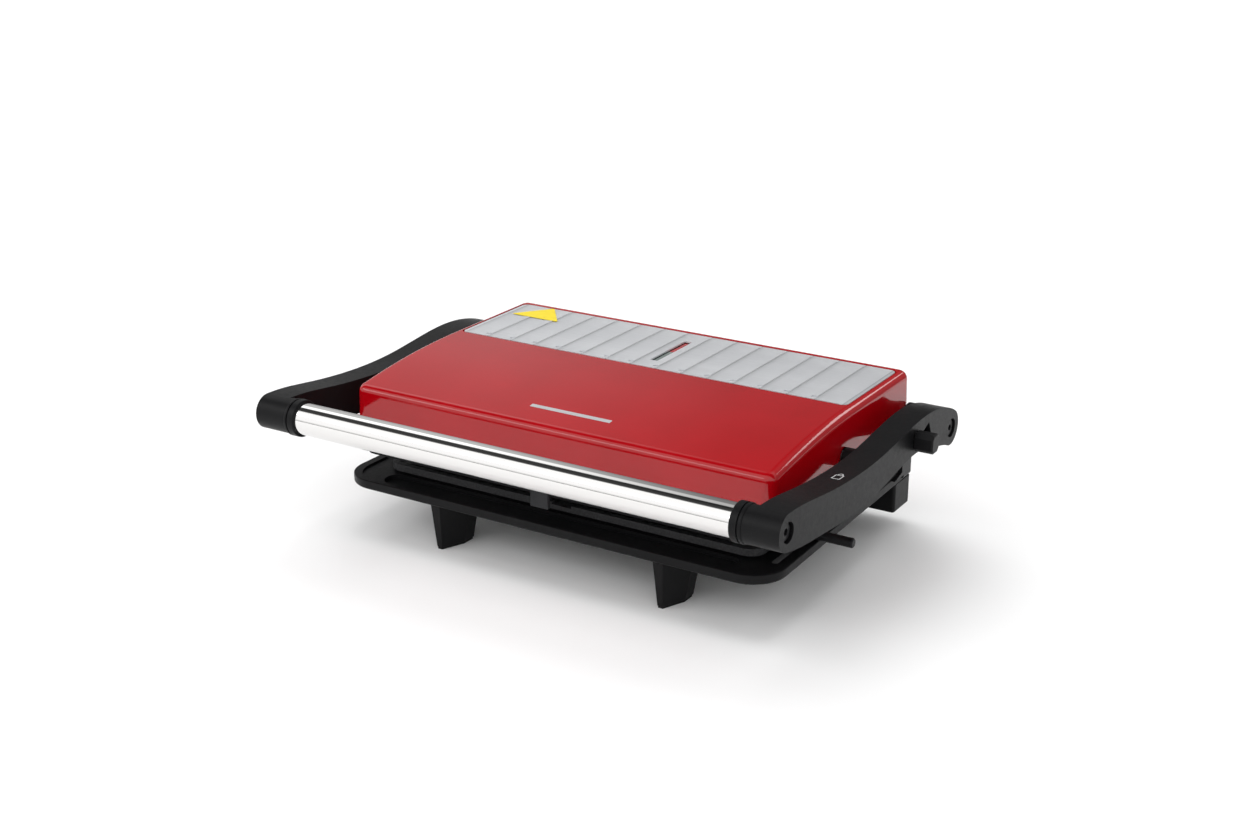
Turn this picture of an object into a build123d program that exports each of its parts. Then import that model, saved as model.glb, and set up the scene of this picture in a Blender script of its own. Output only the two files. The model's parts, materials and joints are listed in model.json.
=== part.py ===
"""Panini press: a contact grill with a floating upper plate and a lever handle.

Millimetres, +Z up, front towards -Y. The origin is the bottom centre of the whole press.
Dimensions below are given from the press's own datums: x from its plane of symmetry,
y from the front edge of the lower housing (towards the rear), z from the worktop.
The release button stands out on the right only, so the plane of symmetry lies a little
to the left of the origin.
"""

from build123d import *
from math import cos, radians, sin
import os

os.makedirs("parts", exist_ok=True)

# ---------------------------------------------------------------- driving dimensions
# handle arms and tube
ARM_OUTER_X = 180.0
ARM_INNER_X = 162.0
ARM_LINER_T = 2.0
ARM_WALL = 3.0
FRONT_BOSS_R = 11.0
FRONT_BOSS_Y = -32.2
FRONT_BOSS_Z = 85.6
FRONT_BOSS_INNER_X = 157.5
TUBE_R = 10.0
TUBE_WALL = 1.2
TUBE_END_X = 150.0
COLLAR_R = 11.6

# main hinge
PIVOT_Y = 193.7
PIVOT_Z = 72.5
PIVOT_R = 4.0
LOBE_R = 11.3
RUNNING_GAP = 0.05

# floating pivot of the upper unit
FLOAT_Y = 104.0
FLOAT_Z = 76.5

# lower housing
SLAB_HALF_X = 150.0
SLAB_FRONT_HALF_X = 153.5
SLAB_DEPTH = 205.0
SLAB_BOTTOM = 31.5
SLAB_TOP = 37.6
SLAB_FRONT_R = 22.0
SLAB_REAR_R = 6.0
RIM_WIDTH = 3.0
DISH_DEPTH = 1.2
BAR_FRONT_Y = 181.0
BRACKET_SEAT_Z = SLAB_TOP - 2.2
BAR_BOTTOM = 12.0
PAN_BOTTOM = 19.0

# cooking plates
PLATE_HALF_X = 134.0
PLATE_FRONT_Y = 24.0
PLATE_REAR_Y = 178.0
PLATE_R = 10.0
RIB_PITCH = 9.0
RIB_WIDTH = 4.2
RIB_HEIGHT = 2.6
LOWER_RIB_TOP = 43.0
UPPER_RIB_BOTTOM = 50.4

# upper cover and its frame
COVER_HALF_X = 149.0
COVER_FRONT_Y = 12.0
COVER_REAR_Y = 203.0
COVER_BOTTOM = 64.0
COVER_TOP = 103.2
COVER_FRONT_TOP = 94.0
COVER_FLAT_FROM_Y = 115.0
COVER_CORNER_R = 8.0
COVER_EDGE_R = 5.5
COVER_TAPER = 2.0
COVER_WALL = 1.6
SKIRT_HALF_X = 144.0
SKIRT_BOTTOM = 50.0
SKIRT_TOP = 67.0

# louvred trim panel
PANEL_HALF_X = 141.7
PANEL_FRONT_Y = 118.4
PANEL_REAR_Y = 194.0
PANEL_BASE = 101.9
PANEL_FACE = 103.0
PANEL_CORNER_R = 4.5
PANEL_GAP = 0.9
PANEL_LIP = 0.4
LOUVRE_PITCH = 18.55
LOUVRE_COUNT = 14
LOUVRE_WIDTH = 7.6
LOUVRE_RISE = 0.5
LOUVRE_MOUTH = 4.2
LAMP_SLOT_HALF_X = 2.8
LAMP_SLOT_FRONT_Y = 132.5
LAMP_SLOT_REAR_Y = 178.0

# release button: it slides rearwards along a slot that rises to a point
BUTTON_TIP_X = 192.5
BUTTON_Y = 137.3
BUTTON_Z = 82.4
BUTTON_WIDTH = 10.4
BUTTON_HEIGHT = 11.8
BUTTON_STEM_R = 2.9
SLOT_FLOOR_Z = 79.2
SLOT_ROOF_Z = 85.4
SLOT_ROOF_REAR_Y = 148.6
SLOT_APEX = (155.9, 88.3)
SLOT_REAR_Y = 159.6
SLOT_REAR_Z = 80.9

# lock slider and its rod
LOCK_Y = 65.0
LOCK_ROD_Z = 41.3
LOCK_ROD_R = 3.0
LOCK_ROD_TIP_X = 174.5
HOOK_TOP_Z = 59.8
HOOK_INNER_X = 146.6
HOOK_OUTER_X = 149.6
HOOK_HALF_Y = 7.0
LIP_INNER_X = 144.6
KEEPER_OUTER_X = 146.3
KEEPER_FRONT_Y = 28.0
KEEPER_REAR_Y = 42.0

# fasteners
HEAD_R = 5.2
HEAD_T = 2.6
SOCKET_R = 2.3
SOCKET_DEPTH = 1.8

# feet
LEG_X = 80.0
PAD_HEIGHT = 1.6

# where the press's own datums lie in the frame
MID_X = -(BUTTON_TIP_X - ARM_OUTER_X) / 2
GLAND_REAR_Y = 209.0
MID_Y = -(FRONT_BOSS_Y - FRONT_BOSS_R + GLAND_REAR_Y) / 2


# ---------------------------------------------------------------- planes and helpers
def level(z):
    """Horizontal plane at height z: local axes are the press's x and y."""
    return Plane((MID_X, MID_Y, z))


def across(x):
    """Plane square to the hinge axis at x: local axes are y and z, normal +X."""
    return Plane(origin=(MID_X + x, MID_Y, 0), x_dir=(0, 1, 0), z_dir=(1, 0, 0))


def facing(y):
    """Upright plane at depth y: local axes are x and z, normal towards the front."""
    return Plane(origin=(MID_X, MID_Y + y, 0), x_dir=(1, 0, 0), z_dir=(0, -1, 0))


def span(low, high):
    """Middle of a stretch, for placing a centred rectangle."""
    return (low + high) / 2


MIDDLE = across(0)


def finish(builder, name):
    """Label a finished piece and write it as one STEP file."""
    builder.part.label = name
    export_step(builder.part, f"parts/{name}.step")


def mirrored(source):
    """The left-hand twin of a right-hand piece."""
    with BuildPart() as twin:
        mirror(source.part, about=MIDDLE)
    return twin


def finish_pair(source, name):
    """Write a right-hand piece and its left-hand twin."""
    finish(source, f"{name}_right")
    finish(mirrored(source), f"{name}_left")


def block(z, height, x0, x1, y0, y1, radius=0.0):
    """A block on the plane at height z, with rounded upright corners."""
    with BuildPart() as solid:
        with BuildSketch(level(z)):
            with Locations((span(x0, x1), span(y0, y1))):
                if radius > 0:
                    RectangleRounded(x1 - x0, y1 - y0, radius)
                else:
                    Rectangle(x1 - x0, y1 - y0)
        extrude(amount=height)
    return solid.part


def pegs(z, height, radius, points):
    """Upright cylinders of one size at several (x, y) points."""
    with BuildPart() as solids:
        with BuildSketch(level(z)):
            with Locations(*points):
                Circle(radius)
        extrude(amount=height)
    return solids.part


def rod(x, length, radius, centre):
    """A cylinder along +X from the plane at x, at one (y, z) point."""
    with BuildPart() as solid:
        with BuildSketch(across(x)):
            with Locations(centre):
                Circle(radius)
        extrude(amount=length)
    return solid.part


# ---------------------------------------------------------------- lower housing
PAN_SCREWS = [(side * 131, y) for side in (1, -1) for y in (45, 160)]
BRACKET_SCREWS = [(side * 137, y) for side in (1, -1) for y in (190.5, 199.5)]
REAR_FEET = [(side * 88, span(BAR_FRONT_Y, SLAB_DEPTH)) for side in (1, -1)]
WELL = (-122, 122, 36, 166)
GLAND_X = -60.0
GLAND_Z = 22.0

with BuildPart() as lower_housing:
    # the casing is a little wider at the front than at the rear
    with BuildSketch(level(SLAB_BOTTOM)):
        with BuildLine():
            Polyline(
                (-SLAB_FRONT_HALF_X, 0), (SLAB_FRONT_HALF_X, 0), (SLAB_HALF_X, SLAB_DEPTH),
                (-SLAB_HALF_X, SLAB_DEPTH), close=True,
            )
        make_face()
    extrude(amount=SLAB_TOP - SLAB_BOTTOM)
    fillet(lower_housing.edges().filter_by(Axis.Z).sort_by(Axis.Y)[:2], SLAB_FRONT_R)
    fillet(lower_housing.edges().filter_by(Axis.Z).sort_by(Axis.Y)[-2:], SLAB_REAR_R)
    fillet(lower_housing.faces().sort_by(Axis.Z)[0].edges(), 1.6)
    fillet(lower_housing.faces().sort_by(Axis.Z)[-1].edges(), 0.8)
    # shallow dish inside a narrow rim, with a deeper trough along the front
    add(
        block(
            SLAB_TOP - DISH_DEPTH, 5, RIM_WIDTH - SLAB_HALF_X, SLAB_HALF_X - RIM_WIDTH,
            RIM_WIDTH, BAR_FRONT_Y - 1, SLAB_FRONT_R - RIM_WIDTH,
        ),
        mode=Mode.SUBTRACT,
    )
    add(block(SLAB_TOP - 3.6, 5, -126, 126, 6.5, 22, 7), mode=Mode.SUBTRACT)
    # ledge that carries the cooking plate, and the well for the plate's underside
    add(
        block(
            SLAB_TOP - DISH_DEPTH - 0.5, DISH_DEPTH + 0.5, 2 - PLATE_HALF_X, PLATE_HALF_X - 2,
            PLATE_FRONT_Y + 2, PLATE_REAR_Y - 2, 8,
        )
    )
    add(block(SLAB_BOTTOM - 1, 12, *WELL, 6), mode=Mode.SUBTRACT)
    # slot for the lock slider
    add(block(SLAB_BOTTOM - 1, 10, 141, 145, 26, 76, 1.9), mode=Mode.SUBTRACT)
    # seats that sink the hinge brackets' feet, clear of the cover when it is folded right back
    for x0, x1 in ((129.5, 160), (-160, -129.5)):
        add(block(BRACKET_SEAT_Z, 10, x0, x1, BAR_FRONT_Y + 4.5, SLAB_DEPTH + 5), mode=Mode.SUBTRACT)
    # screw holes for the hinge brackets and the belly pan
    add(pegs(SLAB_BOTTOM - 1, 10, 1.8, BRACKET_SCREWS), mode=Mode.SUBTRACT)
    add(pegs(SLAB_BOTTOM - 1, 4.5, 1.3, PAN_SCREWS), mode=Mode.SUBTRACT)
finish(lower_housing, "lower_housing")

# rear bar under the housing: carries the rear feet, the hinge brackets and the cord entry
BAR_HEIGHT = SLAB_BOTTOM - BAR_BOTTOM
with BuildPart() as rear_bar:
    add(block(BAR_BOTTOM, BAR_HEIGHT, -SLAB_HALF_X, SLAB_HALF_X, BAR_FRONT_Y, SLAB_DEPTH))
    fillet(rear_bar.edges().filter_by(Axis.Z), 2.0)
    fillet(rear_bar.faces().sort_by(Axis.Z)[0].edges(), 1.5)
    add(
        block(
            BAR_BOTTOM - 1, BAR_HEIGHT - 2, 4 - SLAB_HALF_X, SLAB_HALF_X - 4,
            BAR_FRONT_Y + 3, SLAB_DEPTH - 3,
        ),
        mode=Mode.SUBTRACT,
    )
    add(pegs(BAR_BOTTOM + 4, BAR_HEIGHT - 4.5, 9.5, REAR_FEET))
    add(pegs(BAR_BOTTOM + 3, BAR_HEIGHT - 3.5, 4.0, BRACKET_SCREWS))
    add(pegs(BAR_BOTTOM + 6, BAR_HEIGHT, 1.45, BRACKET_SCREWS), mode=Mode.SUBTRACT)
    with BuildSketch(facing(SLAB_DEPTH + 1)):
        with Locations((GLAND_X, GLAND_Z)):
            Circle(6.2)
    extrude(amount=5, mode=Mode.SUBTRACT)
finish(rear_bar, "rear_bar")

with BuildPart() as cord_gland:
    with BuildSketch(facing(GLAND_REAR_Y)):
        with Locations((GLAND_X, GLAND_Z)):
            Circle(8.6)
    extrude(amount=GLAND_REAR_Y - SLAB_DEPTH)
    chamfer(cord_gland.faces().sort_by(Axis.Y)[-1].edges(), 1.0)
    with BuildSketch(facing(SLAB_DEPTH)):
        with Locations((GLAND_X, GLAND_Z)):
            Circle(6.15)
    extrude(amount=6)
    with BuildSketch(facing(GLAND_REAR_Y + 1)):
        with Locations((GLAND_X, GLAND_Z)):
            Circle(3.4)
    extrude(amount=15, mode=Mode.SUBTRACT)
finish(cord_gland, "cord_gland")

# vented pan that closes in the lower element and its wiring
with BuildPart() as belly_pan:
    add(block(PAN_BOTTOM, SLAB_BOTTOM - PAN_BOTTOM, -128, 128, 32, 172, 8))
    fillet(belly_pan.faces().sort_by(Axis.Z)[0].edges(), 3)
    add(block(PAN_BOTTOM + 2, SLAB_BOTTOM, -125.6, 125.6, 34.4, 169.6, 6), mode=Mode.SUBTRACT)
    for x, y in PAN_SCREWS:
        inner = 126 if x > 0 else -136
        add(block(SLAB_BOTTOM - 2.2, 2.2, inner, inner + 10, y - 7, y + 7, 2))
    add(pegs(PAN_BOTTOM, 20, 1.5, PAN_SCREWS), mode=Mode.SUBTRACT)
    with BuildSketch(level(PAN_BOTTOM - 1)):
        with Locations((0, 102)):
            with GridLocations(14, 48, 13, 2):
                SlotOverall(28, 4, rotation=90)
    extrude(amount=4, mode=Mode.SUBTRACT)
finish(belly_pan, "belly_pan")

with BuildPart() as pan_screws:
    add(pegs(SLAB_BOTTOM - 3.8, 1.6, 3.0, PAN_SCREWS))
    fillet(pan_screws.faces().group_by(Axis.Z)[0].edges(), 0.8)
    add(pegs(SLAB_BOTTOM - 2.2, 5, 1.25, PAN_SCREWS))
finish(pan_screws, "pan_screws")


# ---------------------------------------------------------------- legs and feet
def leg_section(x, z, nose_half, back_half, nose_y, back_y):
    """Plan of a leg: a narrow nose that flares out, then runs parallel to its back."""
    shoulder = nose_y + 0.62 * (back_y - nose_y)
    with BuildSketch(Plane((MID_X + x, MID_Y, z))) as section:
        with BuildLine():
            Polyline(
                (nose_half, nose_y), (back_half, shoulder), (back_half, back_y),
                (-back_half, back_y), (-back_half, shoulder), (-nose_half, nose_y), close=True,
            )
        make_face()
    return section.sketch


with BuildPart() as front_leg:
    foot_section = leg_section(LEG_X, PAD_HEIGHT, 1.8, 8.4, 6.3, 31.0)
    root_section = leg_section(LEG_X, SLAB_BOTTOM, 3.4, 14.0, 3.2, 31.5)
    loft([foot_section, root_section], ruled=True)
finish_pair(front_leg, "front_leg")

with BuildPart() as front_pads:
    for leg_side in (1, -1):
        extrude(leg_section(leg_side * LEG_X, 0, 1.6, 7.8, 6.8, 30.4), amount=PAD_HEIGHT)
finish(front_pads, "front_pads")

with BuildPart() as rear_feet:
    add(pegs(0, BAR_BOTTOM + 4, 9.0, REAR_FEET))
    chamfer(rear_feet.faces().group_by(Axis.Z)[0].edges(), 1.0)
finish(rear_feet, "rear_feet")


# ---------------------------------------------------------------- cooking plates
def ribs(base_z, direction):
    """Tapered ribs running front to back across a plate's cooking face."""
    count = int((2 * PLATE_HALF_X - 16) // RIB_PITCH)
    length = PLATE_REAR_Y - PLATE_FRONT_Y - 22
    with BuildPart() as solids:
        with BuildSketch(level(base_z)):
            with Locations((0, span(PLATE_FRONT_Y, PLATE_REAR_Y))):
                with GridLocations(RIB_PITCH, 1, count, 1):
                    Rectangle(RIB_WIDTH, length)
        extrude(amount=direction * RIB_HEIGHT, taper=18)
    return solids.part


def heating_element(z):
    """A tubular element bent into one long loop, with both ends at the rear."""
    with BuildPart() as element:
        with BuildLine(Plane((MID_X, MID_Y, z))) as route:
            FilletPolyline(
                (40, 166), (40, 140), (104, 140), (104, 56),
                (-104, 56), (-104, 140), (-40, 140), (-40, 166), radius=12,
            )
        with BuildSketch(Plane(origin=route.line @ 0, z_dir=route.line % 0)):
            Circle(3.3)
        sweep()
    return element


PLATE_SCREWS = [(side * 112, y) for side in (1, -1) for y in (48, 154)]
UNDERSIDE = (-118, 118, 42, 160)
UNDERSIDE_DEPTH = SLAB_TOP - SLAB_BOTTOM


def cooking_plate(back_z, face_z, element, direction):
    """A ribbed plate. Direction is +1 with the ribs on top and -1 with them below."""
    flange = abs(face_z - back_z)
    with BuildPart() as plate:
        add(block(min(back_z, face_z), flange, -PLATE_HALF_X, PLATE_HALF_X,
                  PLATE_FRONT_Y, PLATE_REAR_Y, PLATE_R))
        rim_z = face_z if direction > 0 else face_z - 1.6
        add(block(rim_z, 1.6, -PLATE_HALF_X, PLATE_HALF_X, PLATE_FRONT_Y, PLATE_REAR_Y, PLATE_R))
        well_z = face_z if direction > 0 else face_z - 3
        add(
            block(
                well_z, 3, 4 - PLATE_HALF_X, PLATE_HALF_X - 4,
                PLATE_FRONT_Y + 4, PLATE_REAR_Y - 4, PLATE_R - 4,
            ),
            mode=Mode.SUBTRACT,
        )
        add(block(well_z, 3, -7, 7, PLATE_FRONT_Y - 1, PLATE_FRONT_Y + 6), mode=Mode.SUBTRACT)
        add(ribs(face_z, direction))
        back = min(back_z, back_z - direction * UNDERSIDE_DEPTH)
        add(block(back, UNDERSIDE_DEPTH, *UNDERSIDE, 12))
        add(element.part, mode=Mode.SUBTRACT)
    return plate


lower_element = heating_element(SLAB_BOTTOM)
finish(lower_element, "lower_element")

with BuildPart() as lower_plate:
    add(cooking_plate(SLAB_TOP, LOWER_RIB_TOP - RIB_HEIGHT, lower_element, 1).part)
    add(pegs(SLAB_BOTTOM - 1, 5.5, 1.5, PLATE_SCREWS), mode=Mode.SUBTRACT)
finish(lower_plate, "lower_plate")

# strips under the housing that clamp the lower plate down onto its ledge
CLAMP_T = 1.2
with BuildPart() as plate_clamps:
    for x, y in PLATE_SCREWS:
        inner = 108.5 if x > 0 else -125.2
        add(block(SLAB_BOTTOM - CLAMP_T, CLAMP_T, inner, inner + 16.7, y - 5, y + 5, 2))
    add(pegs(SLAB_BOTTOM - 2, 4, 1.5, PLATE_SCREWS), mode=Mode.SUBTRACT)
finish(plate_clamps, "plate_clamps")

with BuildPart() as lower_plate_screws:
    add(pegs(SLAB_BOTTOM - CLAMP_T - 1.8, 1.8, 3.1, PLATE_SCREWS))
    add(pegs(SLAB_BOTTOM - CLAMP_T, 5, 1.5, PLATE_SCREWS))
finish(lower_plate_screws, "lower_plate_screws")


# ---------------------------------------------------------------- lower wiring
with BuildPart() as terminal_block:
    add(block(PAN_BOTTOM + 2, 7, -18, 18, 146, 156, 1.5))
    add(pegs(PAN_BOTTOM + 5, 6, 1.6, [(x, 151) for x in (-12, -4, 4, 12)]), mode=Mode.SUBTRACT)
finish(terminal_block, "terminal_block")


def wire(radius, *points, bend=4.0):
    """An insulated lead that runs through (x, y, z) points, with rounded bends."""
    with BuildPart() as lead:
        with BuildLine(Plane((MID_X, MID_Y, 0))) as route:
            FilletPolyline(*points, radius=bend)
        with BuildSketch(Plane(origin=route.line @ 0, z_dir=route.line % 0)):
            Circle(radius)
        sweep()
    return lead.part


with BuildPart() as lower_wiring:
    for tail_side in (1, -1):
        add(wire(1.3, (tail_side * 12, 156, 23), (tail_side * 12, 162, 23), (tail_side * 40, 162, 23),
                 (tail_side * 40, 162, 28.1), bend=1.9))
finish(lower_wiring, "lower_wiring")

with BuildPart() as thermostat:
    add(pegs(SLAB_BOTTOM - 6, 6, 8, [(0, 100)]))
    add(block(SLAB_BOTTOM - 1.2, 1.2, -15, 15, 95, 105, 3))
    add(pegs(SLAB_BOTTOM - 8.5, 2.5, 1.2, [(-4, 100), (4, 100)]))
finish(thermostat, "thermostat")


# ---------------------------------------------------------------- hinge brackets and pins
BRACKET_FRONT_Y = 186.0
BRACKET_REAR_Y = 204.8
BRACKET_FOOT_T = 2.6
BRACKET_TOP_Z = BRACKET_SEAT_Z + BRACKET_FOOT_T
BRACKET_INNER_X = 150.4
BRACKET_OUTER_X = 153.4
COLUMN_FRONT_Y = 183.0
COLUMN_REAR_Y = 197.0
COLUMN_TOP_Z = 60.0
TOE_Y = 172.0
TOE_Z = SLAB_TOP + 0.1
TOE_HEIGHT = 3.0

with BuildPart() as hinge_bracket:
    add(block(BRACKET_SEAT_Z, BRACKET_FOOT_T, 130, BRACKET_INNER_X, BRACKET_FRONT_Y, BRACKET_REAR_Y))
    fillet(hinge_bracket.edges().filter_by(Axis.Z).sort_by(Axis.Y)[-2:].sort_by(Axis.X)[-1:], SLAB_REAR_R)
    with BuildSketch(across(BRACKET_INNER_X)):
        with BuildLine():
            Polyline(
                (BRACKET_FRONT_Y, BRACKET_SEAT_Z), (COLUMN_REAR_Y, BRACKET_SEAT_Z),
                (COLUMN_REAR_Y, COLUMN_TOP_Z), (BRACKET_REAR_Y, PIVOT_Z), (PIVOT_Y - 10, PIVOT_Z),
                (COLUMN_FRONT_Y, COLUMN_TOP_Z), (COLUMN_FRONT_Y, TOE_Z + TOE_HEIGHT), (TOE_Y, TOE_Z),
                (BRACKET_FRONT_Y, TOE_Z), close=True,
            )
        make_face()
        with Locations((PIVOT_Y, PIVOT_Z)):
            Circle(BRACKET_REAR_Y - PIVOT_Y)
    extrude(amount=BRACKET_OUTER_X - BRACKET_INNER_X)
    fillet(hinge_bracket.edges().filter_by(Axis.Y).group_by(Axis.Z)[0].sort_by(Axis.X)[-1:], 1.5)
    add(rod(140, 20, PIVOT_R, (PIVOT_Y, PIVOT_Z)), mode=Mode.SUBTRACT)
    for x, y in BRACKET_SCREWS[:2]:
        with Locations(Plane((MID_X + x, MID_Y + y, BRACKET_TOP_Z))):
            CounterSinkHole(1.8, 3.2, depth=4)
finish_pair(hinge_bracket, "hinge_bracket")

with BuildPart() as bracket_screws:
    for x, y in BRACKET_SCREWS:
        with BuildSketch(Plane((MID_X + x, MID_Y + y, BRACKET_TOP_Z))):
            Circle(3.1)
        extrude(amount=-1.6, taper=42)
    add(pegs(SLAB_BOTTOM - 8, BRACKET_TOP_Z - 1.4 - SLAB_BOTTOM + 8, 1.4, BRACKET_SCREWS))
finish(bracket_screws, "bracket_screws")

PIN_HEAD_X = 176.2
with BuildPart() as hinge_pin:
    add(rod(BRACKET_INNER_X, PIN_HEAD_X - BRACKET_INNER_X, PIVOT_R, (PIVOT_Y, PIVOT_Z)))
    add(rod(PIN_HEAD_X, HEAD_T, HEAD_R, (PIVOT_Y, PIVOT_Z)))
    chamfer(hinge_pin.faces().sort_by(Axis.X)[-1].edges(), 0.4)
    with BuildSketch(across(PIN_HEAD_X + HEAD_T)):
        with Locations((PIVOT_Y, PIVOT_Z)):
            RegularPolygon(SOCKET_R, 6)
    extrude(amount=-SOCKET_DEPTH, mode=Mode.SUBTRACT)
finish_pair(hinge_pin, "hinge_pin")


# ---------------------------------------------------------------- lock slider
with BuildPart() as lock_slider:
    add(block(SLAB_TOP + 0.2, 2.6, 138, HOOK_OUTER_X, LOCK_Y - 9, LOCK_Y + 9, 1.5))
    add(block(SLAB_BOTTOM - 0.3, 9, 141.4, 144.6, LOCK_Y - 5, LOCK_Y + 5))
    add(block(SLAB_BOTTOM - 2.6, 2.3, 138, 145.5, LOCK_Y - 8, LOCK_Y + 8, 1.5))
    add(
        block(
            SLAB_TOP + 0.2, HOOK_TOP_Z - SLAB_TOP - 0.2, HOOK_INNER_X, HOOK_OUTER_X,
            LOCK_Y - HOOK_HALF_Y, LOCK_Y + HOOK_HALF_Y,
        )
    )
    # lip that reaches over the keeper
    with BuildSketch(facing(LOCK_Y + HOOK_HALF_Y)):
        with BuildLine():
            Polyline(
                (LIP_INNER_X, HOOK_TOP_Z), (LIP_INNER_X, HOOK_TOP_Z - 1.9),
                (HOOK_INNER_X, HOOK_TOP_Z - 3.0), (HOOK_INNER_X + 1, HOOK_TOP_Z), close=True,
            )
        make_face()
    extrude(amount=2 * HOOK_HALF_Y)
    add(rod(HOOK_INNER_X, 4, LOCK_ROD_R, (LOCK_Y, LOCK_ROD_Z)), mode=Mode.SUBTRACT)
finish(lock_slider, "lock_slider")

with BuildPart() as lock_rod:
    add(rod(HOOK_INNER_X, LOCK_ROD_TIP_X - HOOK_INNER_X, LOCK_ROD_R, (LOCK_Y, LOCK_ROD_Z)))
    chamfer(lock_rod.faces().sort_by(Axis.X)[-1].edges(), 0.6)
finish(lock_rod, "lock_rod")


# ---------------------------------------------------------------- upper cover
def cover_form(inset, base_z, edge_r):
    """The cover's outer form, or its hollow when inset: a drafted box with an arched top."""
    corner = COVER_CORNER_R - inset
    top = COVER_TOP - inset
    drop = COVER_TOP - COVER_FRONT_TOP
    run = COVER_FLAT_FROM_Y - COVER_FRONT_Y
    arch_r = (run**2 + drop**2) / (2 * drop)
    angle = radians(12)
    arch_start = (COVER_FLAT_FROM_Y - arch_r * sin(angle), top - arch_r * (1 - cos(angle)))
    arch_mid = (COVER_FLAT_FROM_Y - arch_r * sin(angle / 2), top - arch_r * (1 - cos(angle / 2)))
    with BuildPart() as form:
        with BuildSketch(level(base_z)):
            with Locations((0, span(COVER_FRONT_Y, COVER_REAR_Y))):
                RectangleRounded(
                    2 * (COVER_HALF_X - inset), COVER_REAR_Y - COVER_FRONT_Y - 2 * inset, corner
                )
        extrude(amount=COVER_TOP + 4 - base_z, taper=COVER_TAPER)
        with BuildSketch(MIDDLE):
            with BuildLine():
                ThreePointArc(arch_start, arch_mid, (COVER_FLAT_FROM_Y, top))
                Polyline(
                    (COVER_FLAT_FROM_Y, top), (COVER_REAR_Y + 10, top),
                    (COVER_REAR_Y + 10, 0), (arch_start[0], 0), arch_start,
                )
            make_face()
        extrude(amount=200, both=True, mode=Mode.INTERSECT)
        seam_y = MID_Y + COVER_FLAT_FROM_Y
        top_edges = form.edges().filter_by(lambda e: e.center().Z > 90)
        fillet(top_edges.filter_by(lambda e: abs(e.center().Y - seam_y) > 1), edge_r)
    return form.part


COVER_SCREWS = [(side * 137.8, y) for side in (1, -1) for y in (24, 190)]
FLOAT_HOLE_R = 6.0
BEZEL_HALF_X = 6.8
BEZEL_FRONT_Y = 128.2
BEZEL_REAR_Y = 181.8

cover_hollow = cover_form(COVER_WALL, COVER_BOTTOM - 1, COVER_EDGE_R - COVER_WALL)
cover_posts = pegs(SKIRT_TOP, COVER_TOP - SKIRT_TOP, 4.2, COVER_SCREWS)
panel_ledge = block(PANEL_BASE - 2.0, 2.0, -142.6, 142.6, PANEL_FRONT_Y - 3, PANEL_REAR_Y + 2)

with BuildPart() as top_cover:
    add(cover_form(0, COVER_BOTTOM, COVER_EDGE_R))
    add(cover_hollow - cover_posts - panel_ledge, mode=Mode.SUBTRACT)
    add(pegs(SKIRT_TOP - 1, 12, 1.3, COVER_SCREWS), mode=Mode.SUBTRACT)
    # recess for the trim panel, with the lamp bezel's window through its floor
    add(
        block(
            PANEL_BASE, 4, -PANEL_HALF_X - PANEL_GAP, PANEL_HALF_X + PANEL_GAP,
            PANEL_FRONT_Y - PANEL_GAP, PANEL_REAR_Y + 0.3, PANEL_CORNER_R,
        ),
        mode=Mode.SUBTRACT,
    )
    add(
        block(95, 10, -BEZEL_HALF_X - 0.1, BEZEL_HALF_X + 0.1, BEZEL_FRONT_Y - 0.1,
              BEZEL_REAR_Y + 0.1),
        mode=Mode.SUBTRACT,
    )
    # clearance for the floating pivot pins
    add(rod(-160, 320, FLOAT_HOLE_R, (FLOAT_Y, FLOAT_Z)), mode=Mode.SUBTRACT)
finish(top_cover, "top_cover")


# ---------------------------------------------------------------- louvred panel and lamps
def louvre_xs():
    """Positions of the front-to-back steps between the louvres."""
    return [(i - (LOUVRE_COUNT - 1) / 2) * LOUVRE_PITCH for i in range(LOUVRE_COUNT)]


with BuildPart() as trim_panel:
    add(
        block(
            PANEL_BASE, PANEL_FACE - PANEL_BASE, -PANEL_HALF_X, PANEL_HALF_X,
            PANEL_FRONT_Y, PANEL_REAR_Y, PANEL_CORNER_R,
        )
    )
    add(
        block(
            PANEL_FACE, PANEL_LIP, PANEL_CORNER_R - PANEL_HALF_X, PANEL_HALF_X - PANEL_CORNER_R,
            PANEL_FRONT_Y, PANEL_FRONT_Y + 1.0,
        )
    )
    # pressed ramps that rise to each step
    with BuildSketch(facing(PANEL_REAR_Y - 4)):
        for x in louvre_xs():
            with BuildLine():
                Polyline(
                    (x - LOUVRE_WIDTH, PANEL_FACE), (x - 0.3, PANEL_FACE + LOUVRE_RISE),
                    (x, PANEL_FACE), (x, PANEL_BASE + 0.3), (x - LOUVRE_WIDTH, PANEL_BASE + 0.3),
                    close=True,
                )
            make_face()
    extrude(amount=PANEL_REAR_Y - 4 - PANEL_FRONT_Y - 5.6)
    # open front ends of the ramps
    for x in louvre_xs():
        add(
            block(PANEL_BASE + 0.3, 3, x - LOUVRE_MOUTH, x, PANEL_FRONT_Y + 4.3, PANEL_FRONT_Y + 5.9),
            mode=Mode.SUBTRACT,
        )
    add(
        block(
            PANEL_BASE - 1, 5, -LAMP_SLOT_HALF_X, LAMP_SLOT_HALF_X,
            LAMP_SLOT_FRONT_Y, LAMP_SLOT_REAR_Y,
        ),
        mode=Mode.SUBTRACT,
    )
finish(trim_panel, "trim_panel")

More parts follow.
